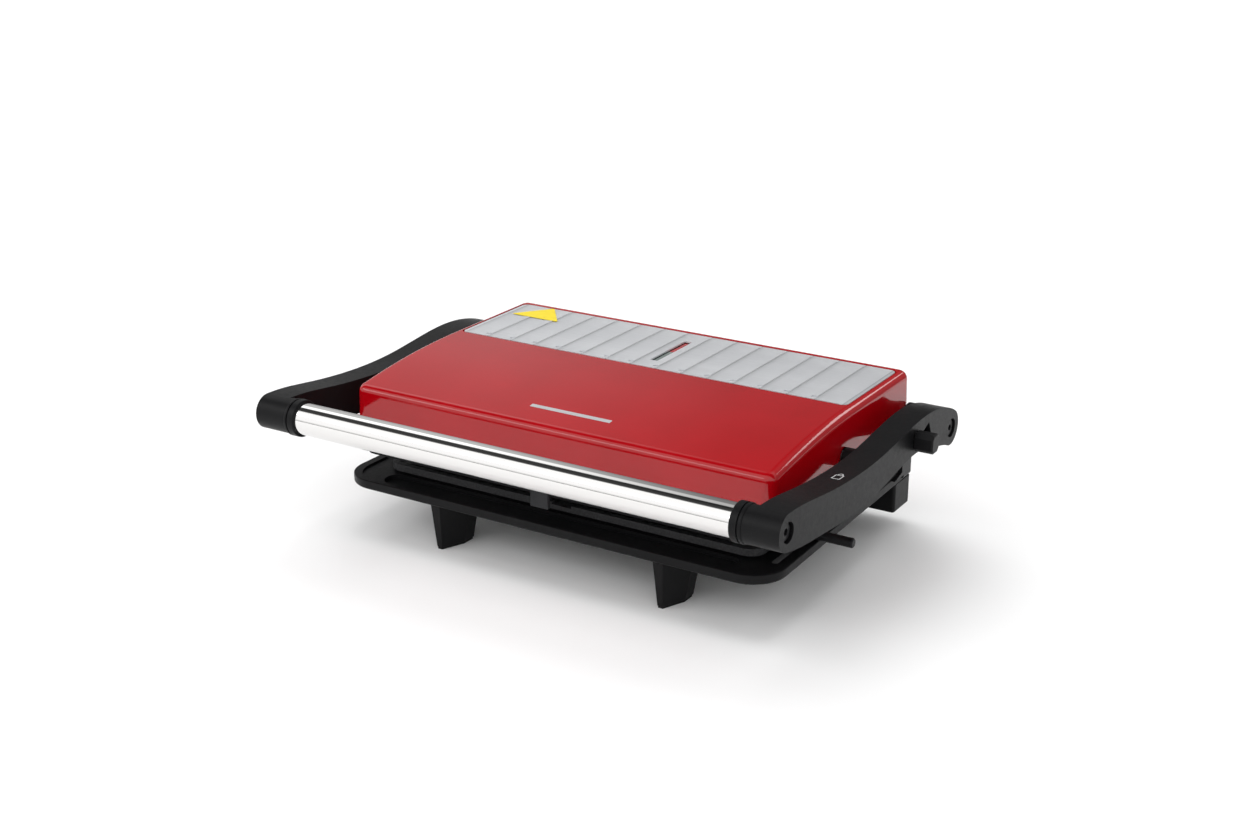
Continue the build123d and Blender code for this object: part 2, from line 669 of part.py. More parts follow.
LENS_SPLIT_Y = 157.5
LENS_TOP = PANEL_BASE - 0.4
with BuildPart() as lamp_bezel:
    add(block(94, PANEL_BASE - 94, -BEZEL_HALF_X, BEZEL_HALF_X, BEZEL_FRONT_Y, BEZEL_REAR_Y))
    add(block(97.4, 2.5, -9.5, 9.5, BEZEL_FRONT_Y - 3, BEZEL_REAR_Y + 3, 2))
    add(
        block(93, 10, -LAMP_SLOT_HALF_X, LAMP_SLOT_HALF_X, LAMP_SLOT_FRONT_Y, LAMP_SLOT_REAR_Y),
        mode=Mode.SUBTRACT,
    )
finish(lamp_bezel, "lamp_bezel")

for lens_name, lens_front, lens_rear in (
    ("green_lens", LAMP_SLOT_FRONT_Y + 0.1, LENS_SPLIT_Y - 0.2),
    ("red_lens", LENS_SPLIT_Y + 0.2, LAMP_SLOT_REAR_Y - 0.1),
):
    with BuildPart() as lens:
        add(block(96.5, LENS_TOP - 96.5, -LAMP_SLOT_HALF_X + 0.05, LAMP_SLOT_HALF_X - 0.05,
                  lens_front, lens_rear))
        chamfer(lens.faces().sort_by(Axis.Z)[-1].edges(), 0.3)
    finish(lens, lens_name)

with BuildPart() as lamp_holder:
    add(block(85, 9, -8, 8, BEZEL_FRONT_Y - 2, BEZEL_REAR_Y + 2, 2))
    add(block(87, 8, -4.5, 4.5, BEZEL_FRONT_Y + 2, BEZEL_REAR_Y - 2, 1), mode=Mode.SUBTRACT)
finish(lamp_holder, "lamp_holder")

with BuildPart() as neon_lamps:
    for lamp_y in (137, 160):
        with BuildSketch(facing(lamp_y + 15)):
            with Locations((0, 90.5)):
                Circle(2.6)
        extrude(amount=15)
    fillet(neon_lamps.edges(), 1.2)
finish(neon_lamps, "neon_lamps")


# ---------------------------------------------------------------- upper frame and plate
UPPER_PLATE_FACE = UPPER_RIB_BOTTOM + RIB_HEIGHT
UPPER_PLATE_BACK = UPPER_PLATE_FACE + 2.8
UPPER_UNDERSIDE = UPPER_PLATE_BACK + UNDERSIDE_DEPTH
DECK_T = 2.4
DECK_BOTTOM = SKIRT_TOP - DECK_T
EAR_INNER_X = 139.5
PLATE_POSTS = [(side * 130.5, y) for side in (1, -1) for y in (50, 152)]

with BuildPart() as upper_frame:
    add(block(SKIRT_BOTTOM, SKIRT_TOP - SKIRT_BOTTOM, -SKIRT_HALF_X, SKIRT_HALF_X, 14.2, 200.8, 8))
    add(block(SKIRT_BOTTOM - 1, DECK_BOTTOM - SKIRT_BOTTOM + 1, -141.5, 141.5, 16.7, 198.3, 6),
        mode=Mode.SUBTRACT)
    add(block(DECK_BOTTOM, DECK_T, -SKIRT_HALF_X, SKIRT_HALF_X, 14.0, 201.0, 6))
    add(block(DECK_BOTTOM - 1, 5, -127, 127, 28, 190, 6), mode=Mode.SUBTRACT)
    # ears for the floating pivot
    for ear_x in (EAR_INNER_X, -SKIRT_HALF_X):
        with BuildSketch(across(ear_x)):
            with Locations((FLOAT_Y, FLOAT_Z)):
                Circle(9)
            with Locations((FLOAT_Y, span(SKIRT_TOP - 1, FLOAT_Z))):
                Rectangle(18, FLOAT_Z - SKIRT_TOP + 1)
        extrude(amount=SKIRT_HALF_X - EAR_INNER_X)
    add(rod(-160, 320, PIVOT_R + RUNNING_GAP, (FLOAT_Y, FLOAT_Z)), mode=Mode.SUBTRACT)
    add(pegs(DECK_BOTTOM - 1, 6, 1.7, COVER_SCREWS + PLATE_POSTS), mode=Mode.SUBTRACT)
finish(upper_frame, "upper_frame")

# catch on the right of the skirt, which the lock slider's lip passes over when locked
with BuildPart() as lock_keeper:
    add(block(SKIRT_BOTTOM + 1, 2.0, SKIRT_HALF_X, KEEPER_OUTER_X, KEEPER_FRONT_Y, KEEPER_REAR_Y))
finish(lock_keeper, "lock_keeper")

# grey tab that hangs from the middle of the upper frame's front
with BuildPart() as front_tab:
    add(block(58, 4, -6.3, 6.3, 0.2, 14.2))
    add(block(48, 14, -6.3, 6.3, 0.2, 3.0))
finish(front_tab, "front_tab")

upper_element = heating_element(UPPER_UNDERSIDE)
finish(upper_element, "upper_element")

with BuildPart() as upper_plate:
    add(cooking_plate(UPPER_PLATE_BACK, UPPER_PLATE_FACE, upper_element, -1).part)
    add(pegs(UPPER_PLATE_BACK - 1, DECK_BOTTOM - UPPER_PLATE_BACK + 1, 3.4, PLATE_POSTS))
    add(pegs(DECK_BOTTOM - 7, 8, 1.4, PLATE_POSTS), mode=Mode.SUBTRACT)
finish(upper_plate, "upper_plate")

SHIELD_T = 0.8
with BuildPart() as heat_shield:
    add(block(SKIRT_TOP, SHIELD_T, -133, 133, 24, 170, 5))
    add(pegs(SKIRT_TOP - 1, 4, 1.7, PLATE_POSTS), mode=Mode.SUBTRACT)
finish(heat_shield, "heat_shield")

with BuildPart() as upper_plate_screws:
    add(pegs(SKIRT_TOP + SHIELD_T, 1.8, 3.0, PLATE_POSTS))
    add(pegs(DECK_BOTTOM - 5, SKIRT_TOP + SHIELD_T - DECK_BOTTOM + 5, 1.35, PLATE_POSTS))
finish(upper_plate_screws, "upper_plate_screws")

with BuildPart() as cover_screws:
    add(pegs(DECK_BOTTOM - 1.8, 1.8, 3.0, COVER_SCREWS))
    add(pegs(DECK_BOTTOM, 11, 1.25, COVER_SCREWS))
finish(cover_screws, "cover_screws")

with BuildPart() as upper_thermostat:
    add(pegs(UPPER_UNDERSIDE, 4.4, 8, [(0, 100)]))
    add(block(UPPER_UNDERSIDE, 1.2, -15, 15, 95, 105, 3))
finish(upper_thermostat, "upper_thermostat")

with BuildPart() as thermal_fuse:
    with BuildSketch(across(30)):
        with Locations((84, UPPER_UNDERSIDE + 2.2)):
            Circle(2.0)
    extrude(amount=14)
    with BuildSketch(across(24)):
        with Locations((84, UPPER_UNDERSIDE + 2.2)):
            Circle(0.6)
    extrude(amount=26)
finish(thermal_fuse, "thermal_fuse")

with BuildPart() as upper_wiring:
    for tail_side in (1, -1):
        add(
            wire(
                1.3, (tail_side * 40, 166.2, UPPER_UNDERSIDE), (tail_side * 40, 182, UPPER_UNDERSIDE),
                (tail_side * 40, 182, 78), (tail_side * 40, 160, 89), (tail_side * 8.2, 160, 89),
            )
        )
finish(upper_wiring, "upper_wiring")


# ---------------------------------------------------------------- handle arms
FRONT = (FRONT_BOSS_Y, FRONT_BOSS_Z)
PIVOT = (PIVOT_Y, PIVOT_Z)
FLOAT = (FLOAT_Y, FLOAT_Z)
LINER_OUTER_X = ARM_INNER_X + ARM_LINER_T
BOSS_R = 8.0
HEAD_RECESS_R = 6.1
HEAD_FLOOR_X = 175.8
HANDLE_SCREW_R = 2.5


def on_circle(centre, radius, bearing):
    """Point on a circle, by its angle from the local first axis."""
    angle = radians(bearing)
    return (centre[0] + radius * cos(angle), centre[1] + radius * sin(angle))


def arm_plate(x, thickness, inset=0.0):
    """A plate with the arm's side outline: front boss, shallow S-shaped bar, rear lobe."""
    front_r = FRONT_BOSS_R - inset
    rear_r = LOBE_R - inset
    top_front = on_circle(FRONT, front_r, 90)
    low_front = on_circle(FRONT, front_r, -105)
    top_rear = on_circle(PIVOT, rear_r, 55)
    low_rear = on_circle(PIVOT, rear_r, -115)
    top_points = [(8, 92.6), (48, 88.8), (90, 89.0), (138, 93.6), (172, 91.8)]
    low_points = [(168, 68.0), (146, 73.2), (100, 69.8), (55, 66.0), (8, 69.0)]
    top_run = [(y, z - inset) for y, z in top_points]
    low_run = [(y, z + inset) for y, z in low_points]
    with BuildPart() as plate:
        with BuildSketch(across(x)):
            with BuildLine():
                Spline(
                    top_front, *top_run, top_rear,
                    tangents=((1, 0), on_circle((0, 0), 1, -35)),
                )
                ThreePointArc(top_rear, on_circle(PIVOT, rear_r, -30), low_rear)
                Spline(
                    low_rear, *low_run, low_front,
                    tangents=(on_circle((0, 0), 1, 155), on_circle((0, 0), 1, 165)),
                )
                ThreePointArc(low_front, on_circle(FRONT, front_r, 172), top_front)
            make_face()
        extrude(amount=thickness)
    return plate.part


def arm_shell():
    """Hollow right-hand arm, open towards the cover, with bosses for its three joints."""
    depth = ARM_OUTER_X - LINER_OUTER_X
    pocket = arm_plate(LINER_OUTER_X, depth - ARM_WALL, ARM_WALL)
    for centre in (FRONT, FLOAT, PIVOT):
        pocket -= rod(LINER_OUTER_X, depth, BOSS_R, centre)
    with BuildPart() as shell:
        add(arm_plate(LINER_OUTER_X, depth))
        add(pocket, mode=Mode.SUBTRACT)
        add(rod(150, 40, HANDLE_SCREW_R, FRONT), mode=Mode.SUBTRACT)
        add(rod(HEAD_FLOOR_X, 10, HEAD_RECESS_R, FRONT), mode=Mode.SUBTRACT)
        add(rod(150, 40, PIVOT_R + RUNNING_GAP, PIVOT), mode=Mode.SUBTRACT)
        add(rod(HEAD_FLOOR_X, 10, HEAD_RECESS_R, PIVOT), mode=Mode.SUBTRACT)
        add(rod(150, 24, PIVOT_R, FLOAT), mode=Mode.SUBTRACT)
    return shell


def slot_cut():
    """Pointed slot through the right arm's outer wall, in which the release button slides."""
    front_y = BUTTON_Y - BUTTON_STEM_R - 0.5
    with BuildPart() as cut:
        with BuildSketch(across(ARM_OUTER_X - ARM_WALL - 1)):
            with BuildLine():
                Polyline(
                    (front_y, SLOT_FLOOR_Z), (front_y, SLOT_ROOF_Z), (SLOT_ROOF_REAR_Y, SLOT_ROOF_Z),
                    SLOT_APEX, (SLOT_REAR_Y, SLOT_REAR_Z), (SLOT_REAR_Y - 1, SLOT_FLOOR_Z),
                    close=True,
                )
            make_face()
        extrude(amount=ARM_WALL + 4)
    return cut.part


with BuildPart() as arm_right:
    add(arm_shell().part)
    add(slot_cut(), mode=Mode.SUBTRACT)
finish(arm_right, "arm_right")
finish(mirrored(arm_shell()), "arm_left")

with BuildPart() as arm_liner:
    add(arm_plate(ARM_INNER_X, ARM_LINER_T))
    add(rod(FRONT_BOSS_INNER_X, ARM_INNER_X - FRONT_BOSS_INNER_X, FRONT_BOSS_R, FRONT))
    add(rod(BRACKET_OUTER_X + 0.3, ARM_INNER_X - BRACKET_OUTER_X - 0.3, 10.5, PIVOT))
    add(rod(150, 20, HANDLE_SCREW_R, FRONT), mode=Mode.SUBTRACT)
    add(rod(150, 20, PIVOT_R + RUNNING_GAP, PIVOT), mode=Mode.SUBTRACT)
    add(rod(150, 20, PIVOT_R, FLOAT), mode=Mode.SUBTRACT)
finish_pair(arm_liner, "arm_liner")

with BuildPart() as handle_tube:
    add(rod(-TUBE_END_X, 2 * TUBE_END_X, TUBE_R, FRONT))
    add(rod(-TUBE_END_X, 2 * TUBE_END_X, TUBE_R - TUBE_WALL, FRONT), mode=Mode.SUBTRACT)
finish(handle_tube, "handle_tube")

# collar between tube and arm: a grooved ring with a plug that fits inside the tube
with BuildPart() as collar:
    add(rod(TUBE_END_X, FRONT_BOSS_INNER_X - TUBE_END_X, COLLAR_R, FRONT))
    fillet(collar.edges().filter_by(GeomType.CIRCLE), 0.8)
    groove = rod(TUBE_END_X + 4.6, 1.0, COLLAR_R + 1, FRONT) - rod(
        TUBE_END_X + 4.6, 1.0, COLLAR_R - 0.9, FRONT
    )
    add(groove, mode=Mode.SUBTRACT)
    add(rod(TUBE_END_X - 20, 20, TUBE_R - TUBE_WALL, FRONT))
    add(rod(TUBE_END_X - 21, 40, HANDLE_SCREW_R, FRONT), mode=Mode.SUBTRACT)
finish_pair(collar, "collar")

with BuildPart() as handle_screws:
    for screw_side in (1, -1):
        add(rod(screw_side * 132, screw_side * (HEAD_FLOOR_X - 132), HANDLE_SCREW_R, FRONT))
        add(rod(screw_side * HEAD_FLOOR_X, screw_side * HEAD_T, HEAD_R, FRONT))
    chamfer(handle_screws.faces().sort_by(Axis.X)[-1].edges(), 0.4)
    chamfer(handle_screws.faces().sort_by(Axis.X)[0].edges(), 0.4)
    for screw_side in (1, -1):
        with BuildSketch(across(screw_side * (HEAD_FLOOR_X + HEAD_T))):
            with Locations(FRONT):
                RegularPolygon(SOCKET_R, 6)
        extrude(amount=-screw_side * SOCKET_DEPTH, mode=Mode.SUBTRACT)
finish(handle_screws, "handle_screws")

PIN_INNER_X = 137.6
PIN_OUTER_X = 174.0
with BuildPart() as float_pins:
    for pin_side in (1, -1):
        add(rod(pin_side * PIN_INNER_X, pin_side * (PIN_OUTER_X - PIN_INNER_X), PIVOT_R, FLOAT))
finish(float_pins, "float_pins")

with BuildPart() as float_clips:
    for clip_side in (1, -1):
        add(rod(clip_side * 138.2, clip_side * 1.1, 6.5, FLOAT))
        add(rod(clip_side * 138.0, clip_side * 2, PIVOT_R, FLOAT), mode=Mode.SUBTRACT)
finish(float_clips, "float_clips")

BUSH_R = 6.0
BUSH_INNER_X = 149.2
with BuildPart() as float_bushes:
    for bush_side in (1, -1):
        add(rod(bush_side * BUSH_INNER_X, bush_side * (ARM_INNER_X - BUSH_INNER_X), BUSH_R, FLOAT))
        add(rod(bush_side * 149, bush_side * 14, PIVOT_R, FLOAT), mode=Mode.SUBTRACT)
finish(float_bushes, "float_bushes")


# ---------------------------------------------------------------- release button
BUTTON = (BUTTON_Y, BUTTON_Z)
BUTTON_SEAT_X = ARM_OUTER_X + 0.4
FLANGE_OUTER_X = ARM_OUTER_X - ARM_WALL - 0.4
FLANGE_T = 3.0
FLANGE_INNER_X = FLANGE_OUTER_X - FLANGE_T
FLANGE_LENGTH = 12.0
FLANGE_HEIGHT = 9.6
LATCH_T = 3.0

# cap outside the arm, stem in the slot, and a flange inside that is taller than the slot
with BuildPart() as release_button:
    with BuildSketch(across(BUTTON_SEAT_X)):
        with Locations(BUTTON):
            cap = Rectangle(BUTTON_WIDTH, BUTTON_HEIGHT)
        chamfer(cap.vertices(), 2.4)
    extrude(amount=BUTTON_TIP_X - BUTTON_SEAT_X)
    chamfer(release_button.faces().sort_by(Axis.X)[-1].edges(), 0.7)
    add(rod(FLANGE_OUTER_X, BUTTON_SEAT_X - FLANGE_OUTER_X, BUTTON_STEM_R, BUTTON))
    with BuildSketch(across(FLANGE_INNER_X)):
        with Locations(BUTTON):
            Rectangle(FLANGE_LENGTH, FLANGE_HEIGHT)
    extrude(amount=FLANGE_T)
finish(release_button, "release_button")

# steel tongue behind the button that holds the arms at their middle stop
with BuildPart() as release_latch:
    with BuildSketch(across(FLANGE_INNER_X - LATCH_T)):
        with BuildLine():
            Polyline(
                (131.5, 79), (131.5, 85), (143, 85.6), (150, 83.4), (168, 83.4),
                (170, 81.6), (168, 79.8), (150, 79.0), close=True,
            )
        make_face()
    extrude(amount=LATCH_T)
finish(release_latch, "release_latch")
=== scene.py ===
import json
from math import cos, pi, radians, sin

import bmesh
import bpy
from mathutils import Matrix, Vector
from mathutils.bvhtree import BVHTree


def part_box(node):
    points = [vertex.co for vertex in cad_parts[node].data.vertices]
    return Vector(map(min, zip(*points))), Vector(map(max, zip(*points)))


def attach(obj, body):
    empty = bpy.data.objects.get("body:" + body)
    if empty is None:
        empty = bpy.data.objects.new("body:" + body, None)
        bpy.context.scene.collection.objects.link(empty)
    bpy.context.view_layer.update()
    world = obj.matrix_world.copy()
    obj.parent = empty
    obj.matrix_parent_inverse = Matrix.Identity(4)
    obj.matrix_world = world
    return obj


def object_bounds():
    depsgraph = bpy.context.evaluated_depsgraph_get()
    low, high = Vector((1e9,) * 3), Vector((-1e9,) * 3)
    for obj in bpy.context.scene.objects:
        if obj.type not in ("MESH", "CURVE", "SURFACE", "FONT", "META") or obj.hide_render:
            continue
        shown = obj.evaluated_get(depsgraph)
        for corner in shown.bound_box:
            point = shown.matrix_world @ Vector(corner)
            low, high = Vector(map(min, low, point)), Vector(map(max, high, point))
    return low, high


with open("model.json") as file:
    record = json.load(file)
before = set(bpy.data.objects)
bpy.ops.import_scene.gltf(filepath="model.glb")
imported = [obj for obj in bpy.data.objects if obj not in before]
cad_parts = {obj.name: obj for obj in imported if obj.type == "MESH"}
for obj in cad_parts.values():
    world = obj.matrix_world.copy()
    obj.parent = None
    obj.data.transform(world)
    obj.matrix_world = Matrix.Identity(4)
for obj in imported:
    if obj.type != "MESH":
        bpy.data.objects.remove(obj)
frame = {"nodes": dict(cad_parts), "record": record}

MM = 0.001
# gap between a film and the surface it lies on
FILM = 0.06 * MM
# height over the whole press, from which films are dropped onto it
ABOVE = 0.5
LOUVRE_PITCH = 18.55 * MM
LOUVRES = 14
# most values of a noise texture lie between these
NOISE_LOW, NOISE_HIGH = 0.3, 0.7
# a ramp's own stops sit at 0 and 1, and the stops added to it keep this far from both
RAMP_EDGE = 0.001
# sockets of the Mix node by place, because its data types share their names
MIX_FACTOR = 0
FLOAT_A, FLOAT_B, FLOAT_RESULT = 2, 3, 0
COLOUR_A, COLOUR_B, COLOUR_RESULT = 6, 7, 2
CAD_LOW, CAD_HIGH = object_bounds()


# ------------------------------------------------------------------ places taken from the frame
def middle(node):
    """Centre of a CAD node's box."""
    low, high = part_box(node)
    return (low + high) / 2


PRESS_X = middle("lower_housing").x
FRONT_EDGE_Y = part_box("lower_housing")[0].y


# ------------------------------------------------------------------ materials
class Paint:
    """A node material built round one Principled shader, textured in the object's own space."""

    def __init__(self, name, colour, rough, metal=0.0):
        self.material = bpy.data.materials.new(name)
        self.material.use_nodes = True
        self.nodes = self.material.node_tree.nodes
        self.links = self.material.node_tree.links
        self.shader = self.nodes["Principled BSDF"]
        self.set("Base Color", (*colour, 1.0))
        self.set("Roughness", rough)
        self.set("Metallic", metal)
        self.place = self.nodes.new("ShaderNodeTexCoord").outputs["Object"]

    def set(self, socket, value):
        self.shader.inputs[socket].default_value = value

    def link(self, output, socket):
        self.links.new(output, self.shader.inputs[socket])

    def noise(self, scale, detail=3.0, stretch=(1, 1, 1)):
        """Noise with about `scale` features to the metre, stretched along the axes below 1."""
        mapping = self.nodes.new("ShaderNodeMapping")
        mapping.inputs["Scale"].default_value = stretch
        self.links.new(self.place, mapping.inputs["Vector"])
        texture = self.nodes.new("ShaderNodeTexNoise")
        texture.inputs["Scale"].default_value = scale
        texture.inputs["Detail"].default_value = detail
        self.links.new(mapping.outputs["Vector"], texture.inputs["Vector"])
        return texture.outputs["Fac"]

    def spread(self, factor, low, high):
        """Rescales noise to a range of values."""
        scaled = self.nodes.new("ShaderNodeMapRange")
        scaled.inputs["From Min"].default_value = NOISE_LOW
        scaled.inputs["From Max"].default_value = NOISE_HIGH
        scaled.inputs["To Min"].default_value = low
        scaled.inputs["To Max"].default_value = high
        self.links.new(factor, scaled.inputs["Value"])
        return scaled.outputs["Result"]

    def tint(self, factor, dark, light):
        """Colour that varies between two tones."""
        ramp = self.nodes.new("ShaderNodeValToRGB")
        ramp.color_ramp.elements[0].position = NOISE_LOW
        ramp.color_ramp.elements[0].color = (*dark, 1)
        ramp.color_ramp.elements[1].position = NOISE_HIGH
        ramp.color_ramp.elements[1].color = (*light, 1)
        self.links.new(factor, ramp.inputs["Fac"])
        self.link(ramp.outputs["Color"], "Base Color")

    def bump(self, factor, depth):
        """Relief of a given depth in metres."""
        relief = self.nodes.new("ShaderNodeBump")
        relief.inputs["Strength"].default_value = 1.0
        relief.inputs["Distance"].default_value = depth
        self.links.new(factor, relief.inputs["Height"])
        self.link(relief.outputs["Normal"], "Normal")


def moulded(name, dark, light, rough, grain=2600, depth=0.00003):
    """Moulded plastic or rubber: fine spark-eroded grain and slightly uneven sheen."""
    paint = Paint(name, light, rough)
    paint.tint(paint.noise(45), dark, light)
    paint.link(paint.spread(paint.noise(400), rough - 0.03, rough + 0.04), "Roughness")
    paint.bump(paint.noise(grain, 2.0), depth)
    paint.set("Specular IOR Level", 0.12)
    return paint


def metal(name, dark, light, rough, stretch, depth=0.000004, scale=900):
    """Worked metal whose fine scratches run along the axes that stretch shrinks."""
    paint = Paint(name, light, rough, metal=1.0)
    scratches = paint.noise(scale, 4.0, stretch)
    paint.tint(paint.noise(30, 3.0, stretch), dark, light)
    paint.link(paint.spread(scratches, rough * 0.75, rough * 1.35), "Roughness")
    paint.bump(scratches, depth)
    return paint


def red_enamel():
    """Deep glossy paint under a clear coat, with faint orange peel."""
    paint = Paint("red_enamel", (0.32, 0.001, 0.005), 0.34)
    paint.tint(paint.noise(22), (0.32, 0.0005, 0.003), (0.36, 0.0008, 0.0045))
    paint.link(paint.spread(paint.noise(260), 0.5, 0.6), "Roughness")
    paint.set("Specular IOR Level", 0.0)
    paint.set("Coat Weight", 1.0)
    paint.set("Coat Roughness", 0.07)
    paint.bump(paint.noise(240, 1.5), 0.000008)
    return paint


def rescaled(nodes, links, value, low, high):
    """Node that maps low to 0 and high to 1, and holds what lies outside."""
    scaled = nodes.new("ShaderNodeMapRange")
    scaled.inputs["From Min"].default_value = low
    scaled.inputs["From Max"].default_value = high
    links.new(value, scaled.inputs["Value"])
    return scaled


def grey_ramp(nodes, links, factor, stops):
    """Colour output of a grey ramp: stops is a list of (position, brightness)."""
    ramp = nodes.new("ShaderNodeValToRGB")
    for position, grey in stops:
        stop = ramp.color_ramp.elements.new(min(max(position, RAMP_EDGE), 1 - RAMP_EDGE))
        stop.color = (grey, grey, grey, 1)
    ramp.color_ramp.elements.remove(ramp.color_ramp.elements[0])
    ramp.color_ramp.elements.remove(ramp.color_ramp.elements[-1])
    links.new(factor, ramp.inputs["Fac"])
    return ramp.outputs["Color"]


# painted shade across one louvre: brightness from one crease to the next
PAINTED_CREASE_SHADE = ((0.0, 0.55), (0.05, 0.8), (0.2, 0.95), (0.6, 1.0), (0.97, 1.0), (1.0, 0.7))


def paint_crease_shade(paint):
    """Painted shade: darkens the panel's colour along each louvre's crease, where its step would shade
    it.
    """
    split = paint.nodes.new("ShaderNodeSeparateXYZ")
    paint.links.new(paint.place, split.inputs["Vector"])
    panel = frame["nodes"]["trim_panel"]
    start = PRESS_X - panel.matrix_world.translation.x - LOUVRE_PITCH * LOUVRES / 2
    first = start + LOUVRE_PITCH / 2
    second = start + LOUVRE_PITCH * 1.5
    along = rescaled(paint.nodes, paint.links, split.outputs["X"], first, second)
    along.clamp = False
    phase = paint.nodes.new("ShaderNodeMath")
    phase.operation = "FRACT"
    paint.links.new(along.outputs["Result"], phase.inputs[0])
    painted_shade = grey_ramp(paint.nodes, paint.links, phase.outputs["Value"], PAINTED_CREASE_SHADE)
    shaded = paint.nodes.new("ShaderNodeMix")
    shaded.data_type = "RGBA"
    shaded.blend_type = "MULTIPLY"
    shaded.inputs[MIX_FACTOR].default_value = 1.0
    tone = paint.shader.inputs["Base Color"].links[0].from_socket
    paint.links.new(tone, shaded.inputs[COLOUR_A])
    paint.links.new(painted_shade, shaded.inputs[COLOUR_B])
    paint.link(shaded.outputs[COLOUR_RESULT], "Base Color")


def satin_panel():
    """Silvered satin sheet: mostly scattered light, with a faint brushed grain along its length."""
    paint = metal("trim_aluminium", (0.6, 0.61, 0.63), (0.66, 0.67, 0.69), 0.42, (0.05, 1, 1), 0.000001)
    paint.set("Metallic", 0.45)
    paint.set("Specular IOR Level", 0.3)
    # painted shade along each louvre's crease
    paint_crease_shade(paint)
    return paint


def plate_coating():
    """Non-stick coating: near black, with sparse fine specks."""
    paint = Paint("plate_coating", (0.03, 0.03, 0.032), 0.42)
    paint.tint(paint.noise(900, 5.0), (0.018, 0.018, 0.019), (0.06, 0.06, 0.063))
    paint.link(paint.spread(paint.noise(300), 0.36, 0.5), "Roughness")
    paint.bump(paint.noise(1500), 0.00002)
    return paint


def lens(name, dark, light):
    """Translucent moulded window with a faintly uneven face."""
    paint = Paint(name, light, 0.12)
    paint.tint(paint.noise(90), dark, light)
    paint.set("Coat Weight", 0.6)
    paint.bump(paint.noise(300), 0.00001)
    return paint


def ink(name, colour, rough):
    """Screen-printed or self-adhesive film."""
    paint = Paint(name, colour, rough)
    dark = tuple(channel * 0.93 for channel in colour)
    paint.tint(paint.noise(300), dark, colour)
    paint.bump(paint.noise(1800), 0.000004)
    return paint


PAINTS = {
    "black_plastic": moulded("black_plastic", (0.005, 0.005, 0.0055), (0.0065, 0.0065, 0.007), 0.4),
    "rubber": moulded("rubber", (0.008, 0.008, 0.008), (0.014, 0.014, 0.014), 0.8, 900),
    "red_enamel": red_enamel(),
    "trim_aluminium": satin_panel(),
    "plate_coating": plate_coating(),
    "polished_steel": metal(
        "polished_steel", (0.74, 0.73, 0.72), (0.82, 0.81, 0.8), 0.07, (0.02, 1, 1), 0.0000008
    ),
    "element_steel": metal("element_steel", (0.16, 0.13, 0.11), (0.34, 0.31, 0.29), 0.45, (1, 1, 1)),
    "zinc_steel": metal("zinc_steel", (0.42, 0.42, 0.43), (0.58, 0.58, 0.6), 0.38, (1, 1, 1)),
    "black_steel": moulded("black_steel", (0.005, 0.005, 0.0055), (0.01, 0.01, 0.011), 0.3, 1400),
    "tab_plastic": moulded("tab_plastic", (0.02, 0.02, 0.022), (0.032, 0.032, 0.034), 0.5),
    "nylon": moulded("nylon", (0.5, 0.49, 0.45), (0.62, 0.61, 0.57), 0.5, 800),
    "shield_aluminium": metal("shield_aluminium", (0.6, 0.6, 0.61), (0.72, 0.72, 0.73), 0.3, (0.1, 1, 1)),
    "ceramic": moulded("ceramic", (0.66, 0.64, 0.59), (0.76, 0.74, 0.69), 0.25, 400, 0.00001),
    "wire_insulation": moulded("wire_insulation", (0.42, 0.07, 0.04), (0.52, 0.11, 0.07), 0.55, 700),
    "red_lens": lens("red_lens", (0.3, 0.008, 0.012), (0.45, 0.015, 0.02)),
    "green_lens": lens("green_lens", (0.1, 0.13, 0.12), (0.2, 0.24, 0.22)),
    "lamp_glass": lens("lamp_glass", (0.7, 0.5, 0.4), (0.85, 0.65, 0.5)),
}


def dress_nodes():
    """Gives every CAD node the paint of its material slot in the record."""
    for part in frame["record"]["subparts"]:
        node = frame["nodes"][part["node"]]
        node.data.materials.clear()
        node.data.materials.append(PAINTS[part["material_slot"]].material)


# ------------------------------------------------------------------ pieces
def piece(name, mesh, body, paint):
    """Puts a finished mesh in the scene as a piece that rides on a body."""
    made = bpy.data.objects.new(name, mesh)
    bpy.context.scene.collection.objects.link(made)
    made.data.materials.append(paint.material)
    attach(made, body)


def surface_tree(node):
    """A CAD node's surface in the shared frame, for laying films on."""
    part = frame["nodes"][node]
    corners = [part.matrix_world @ vert.co for vert in part.data.vertices]
    return BVHTree.FromPolygons(corners, [face.vertices[:] for face in part.data.polygons])


def decal(name, outline, seat, body, paint, holes=(), flat=False):
    """Film laid on the first surface below its outline, (x, y) in millimetres about the press.

    A flat one bridges the hollows below it, just under the highest point of its seat.
    """
    form = bmesh.new()
    edges = []
    for loop in (outline, *holes):
        corners = [form.verts.new((PRESS_X + x * MM, FRONT_EDGE_Y + y * MM, 0)) for x, y in loop]
        edges += [form.edges.new(ends) for ends in zip(corners, corners[1:] + corners[:1])]
    bmesh.ops.triangle_fill(form, use_beauty=True, edges=edges)
    bmesh.ops.subdivide_edges(form, edges=form.edges[:], cuts=2, use_grid_fill=True)
    tree = surface_tree(seat)
    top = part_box(seat)[1].z - FILM / 10
    for vert in form.verts:
        below = tree.ray_cast(Vector((vert.co.x, vert.co.y, ABOVE)), Vector((0, 0, -1)))[0]
        vert.co.z = top if flat else below.z + FILM
    bmesh.ops.recalc_face_normals(form, faces=form.faces)
    mesh = bpy.data.meshes.new(name)
    form.to_mesh(mesh)
    form.free()
    if mesh.polygons[0].normal.z < 0:
        mesh.flip_normals()
    piece(name, mesh, body, paint)


